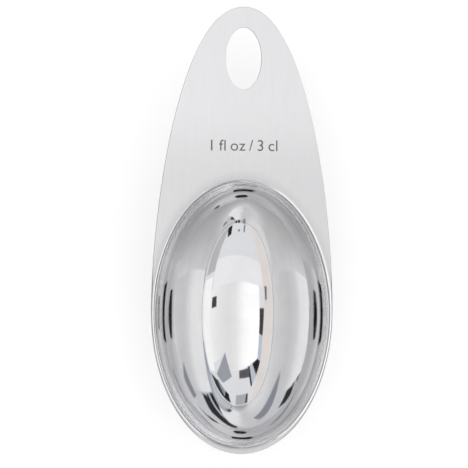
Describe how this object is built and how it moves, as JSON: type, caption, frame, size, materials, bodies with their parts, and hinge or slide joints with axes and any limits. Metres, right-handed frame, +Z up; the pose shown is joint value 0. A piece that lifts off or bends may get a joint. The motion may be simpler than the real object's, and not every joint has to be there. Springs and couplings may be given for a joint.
{
  "type": "coffee scoop",
  "caption": "Flat steel coffee scoop: a brushed plate handle with an oval hanging hole, and a deep polished oval bowl with a rolled rim for measuring ground coffee.",
  "frame": {"origin": "middle of the scoop's length and width, on the ground under the bowl", "axes": "+Z up out of the mouth, +Y along the handle towards its tip, +X across"},
  "size_m": [0.0432, 0.106, 0.0237],
  "materials": {
    "brushed_plate": "fine lengthwise brushed",
    "polished_bowl": "mirror polished",
    "dressed_weld": "dressed weld, polished over"
  },
  "bodies": {
    "root": {"handle_plate": "brushed_plate", "bowl": "polished_bowl", "seam_weld": "dressed_weld"}
  },
  "joints": []
}
